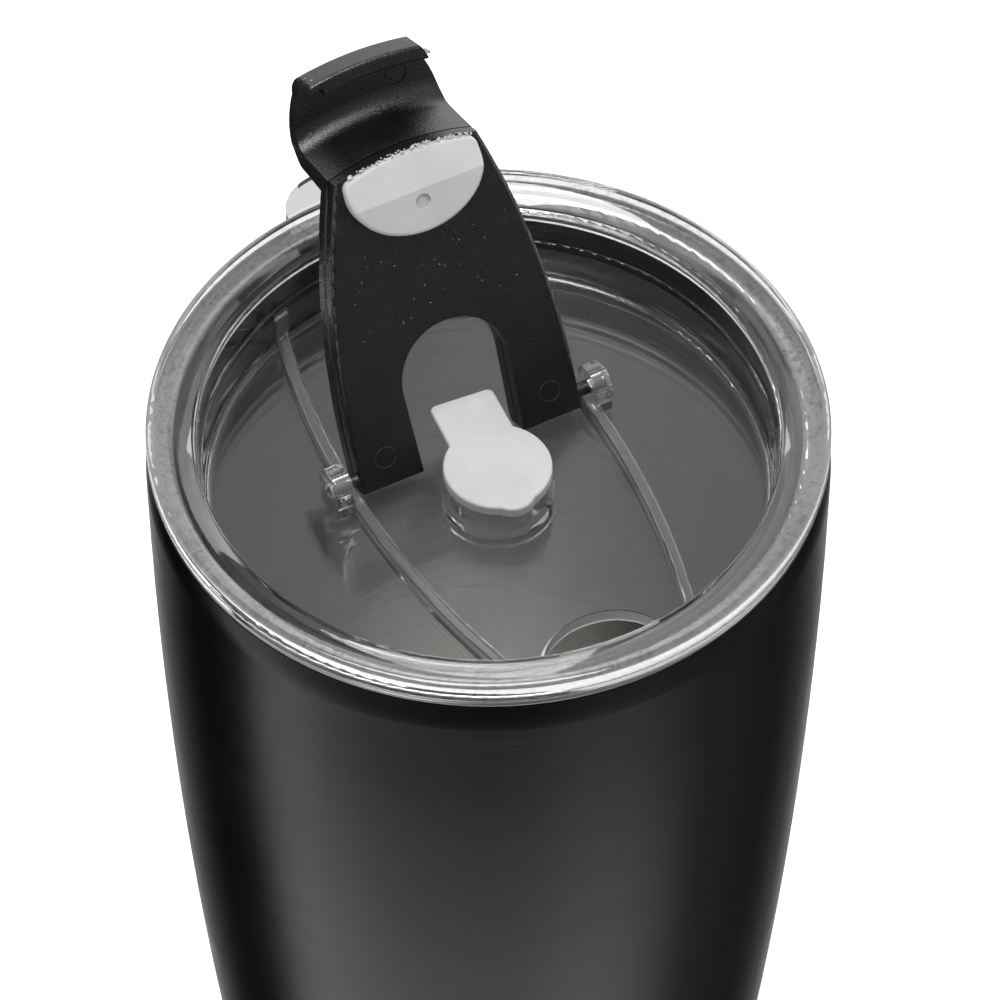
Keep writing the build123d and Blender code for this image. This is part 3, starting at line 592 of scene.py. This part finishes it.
def dust(dice):
    """Dust on the lever's plate and on the lid's floor, off its rails, collar and hole."""
    pale = plain_finish("dust", (0.55, 0.54, 0.52), (0.8, 0.8, 0.78), 0.8)
    on_plate = []
    for _ in range(PLATE_DUST):
        place = on_lever(
            dice.uniform(*PLATE_DUST_X), dice.uniform(*PLATE_DUST_Y), PLATE_FACE - PLATE_DUST_RAISE
        )
        on_plate.append((place, dice.uniform(*PLATE_DUST_SIZE)))
    lumps("lever_dust", "lever", pale, on_plate, dice)
    on_floor = []
    while len(on_floor) < FLOOR_DUST:
        x, y = dice.uniform(*FLOOR_DUST_SPAN), dice.uniform(*FLOOR_DUST_SPAN)
        off_holes = y > HOLES_FRONT_Y and math.hypot(x, y - COLLAR_Y) > COLLAR_REACH
        off_rails = abs(abs(x) - RAIL_X) > RAIL_REACH
        if off_holes and off_rails and math.hypot(x, y) < FLOOR_DUST_REACH:
            place = Vector((x, y, LID_FLOOR + FLOOR_DUST_RAISE))
            on_floor.append((place, dice.uniform(*FLOOR_DUST_SIZE)))
    lumps("lid_dust", "lid", pale, on_floor, dice)


# --- Studio ------------------------------------------------------------------
def make_floor():
    """A plain pale floor."""
    bpy.ops.mesh.primitive_plane_add(size=12)
    floor = bpy.context.object
    floor.name = "floor"
    made, nodes, links, shader = new_material("studio_floor")
    tone = noise(nodes, links, 3, detail=2.0)
    links.new(
        blend_colours(nodes, links, tone, (0.90, 0.90, 0.90), (0.93, 0.93, 0.93)),
        shader.inputs["Base Color"],
    )
    shader.inputs["Roughness"].default_value = 0.9
    shader.inputs["Emission Color"].default_value = (1, 1, 1, 1)
    shader.inputs["Emission Strength"].default_value = 0.28
    floor.data.materials.append(made)
    floor.visible_glossy = False
    floor.visible_shadow = False


def softbox(name, place, width, height, watts):
    """A rectangular area light at place, turned to the lid."""
    data = bpy.data.lights.new(name, "AREA")
    data.shape = "RECTANGLE"
    data.size = width
    data.size_y = height
    data.energy = watts
    lamp = bpy.data.objects.new(name, data)
    lamp.location = place
    lamp.visible_camera = False
    lamp.rotation_euler = (FLANGE_TOP - Vector(place)).to_track_quat("-Z", "Y").to_euler()
    bpy.context.scene.collection.objects.link(lamp)


# The room's brightness below the horizon, by the angle round the mug from the
# camera's side. It shows up as the upright highlights on the coated wall.
LOW_ROOM = (
    (-180, 0.5), (-160, 0.4), (-148, 0.15), (-134, 0.05), (-124, 0.0), (-100, 0.0), (-92, 0.08),
    (-84, 0.65), (-72, 0.75), (-56, 0.35), (-40, 0.15), (-20, 0.07), (0, 0.03), (16, 0.07),
    (32, 0.2), (48, 0.2), (64, 0.12), (82, 0.09), (98, 0.08), (110, 0.03), (126, 0.03),
    (138, 0.08), (150, 0.14), (162, 0.4), (180, 0.5),
)
# The same above the horizon: dim in front, bright at the sides and behind.
HIGH_ROOM = (
    (-180, 1.1), (-150, 0.8), (-110, 0.3), (-80, 1.2), (-50, 0.4), (0, 0.12),
    (40, 0.25), (58, 0.4), (75, 1.7), (105, 0.9), (135, 1.2), (155, 2.1), (172, 2.1), (180, 1.1),
)
OVERHEAD = 0.5
OVERHEAD_FADE = (0.55, 0.8)    # by the height of a direction: -1 is down, 1 is up
HORIZON_FADE = (-0.4, -0.05)
# A pale table, steeply below on the camera's side.
TABLE_LEVEL = 1.02
TABLE_FRONT_FADE = (0.05, 0.3)
TABLE_DOWN_FADE = (-0.78, -0.92)

# Name, place, width, height and watts of each soft box: above and behind, two that light
# the flange's bevels, and one low in front.
SOFTBOXES = (
    ("top_box", (-0.05, 0, 1.3), 0.6, 0.6, 11),
    ("back_box", (0.3, 1.3, 0.9), 1.8, 0.7, 2),
    ("right_bevel_box", (1.15, 0.29, 0.42), 0.35, 0.35, 1.5),
    ("left_bevel_box", (-0.41, 1.11, 0.42), 0.35, 0.35, 1.5),
    ("front_strip", (-0.876, -0.665, 0.12), 0.5, 0.25, 1.5),
)


def room_ramp(nodes, links, turn, stops):
    """Brightness by angle from a list of (degrees, brightness)."""
    ramp = nodes.new("ShaderNodeValToRGB")
    peak = max(level for _, level in stops)
    elements = ramp.color_ramp.elements
    while len(elements) < len(stops):
        elements.new(0.5)
    for element, (degrees, level) in zip(elements, stops):
        element.position = (degrees + 180) / 360
        element.color = (level / peak,) * 3 + (1,)
    links.new(turn, ramp.inputs["Fac"])
    return product(nodes, links, ramp.outputs["Color"], peak)


def dot_with(nodes, links, vector, fixed):
    """The dot product of a vector with a fixed direction."""
    node = nodes.new("ShaderNodeVectorMath")
    node.operation = "DOT_PRODUCT"
    links.new(vector, node.inputs[0])
    node.inputs[1].default_value = fixed
    return node.outputs["Value"]


def mix_values(nodes, links, factor, first, second):
    """A value between first and second."""
    node = nodes.new("ShaderNodeMix")
    links.new(factor, node.inputs["Factor"])
    links.new(first, node.inputs["A"])
    links.new(second, node.inputs["B"])
    return node.outputs["Result"]


def make_room():
    """The studio's surroundings as soft bands of light and dark."""
    world = bpy.data.worlds.new("studio")
    bpy.context.scene.world = world
    world.use_nodes = True
    nodes, links = world.node_tree.nodes, world.node_tree.links
    way = nodes.new("ShaderNodeTexCoord").outputs["Generated"]
    ahead = (math.sin(CAMERA_AZIMUTH), -math.cos(CAMERA_AZIMUTH), 0)
    aside = (math.cos(CAMERA_AZIMUTH), math.sin(CAMERA_AZIMUTH), 0)
    forward = dot_with(nodes, links, way, ahead)
    angle = math_node(nodes, links, "ARCTAN2", dot_with(nodes, links, way, aside), forward)
    turn = remap(nodes, links, angle, -math.pi, math.pi, 0, 1)
    height = dot_with(nodes, links, way, (0, 0, 1))
    table = product(
        nodes, links,
        remap(nodes, links, forward, *TABLE_FRONT_FADE, 0, 1),
        remap(nodes, links, height, *TABLE_DOWN_FADE, 0, TABLE_LEVEL),
    )
    under = math_node(nodes, links, "ADD", room_ramp(nodes, links, turn, LOW_ROOM), table)
    high = room_ramp(nodes, links, turn, HIGH_ROOM)
    top = nodes.new("ShaderNodeValue")
    top.outputs[0].default_value = OVERHEAD
    overhead = remap(nodes, links, height, *OVERHEAD_FADE, 0, 1)
    sky = mix_values(nodes, links, overhead, high, top.outputs[0])
    above = remap(nodes, links, height, *HORIZON_FADE, 0, 1)
    level = mix_values(nodes, links, above, under, sky)
    links.new(level, nodes["Background"].inputs["Strength"])
    nodes["Background"].inputs["Color"].default_value = (1, 1, 1, 1)


def make_lights():
    """The soft boxes, and plain tones for the picture."""
    for name, place, width, height, watts in SOFTBOXES:
        softbox(name, place, width, height, watts)
    bpy.context.scene.view_settings.view_transform = "Standard"


make_camera()
dress_nodes()
leftover_dice = random.Random(7)
pad_flash(leftover_dice)
hook_leftovers(leftover_dice)
dust(leftover_dice)
mark_rims()
make_floor()
make_room()
make_lights()
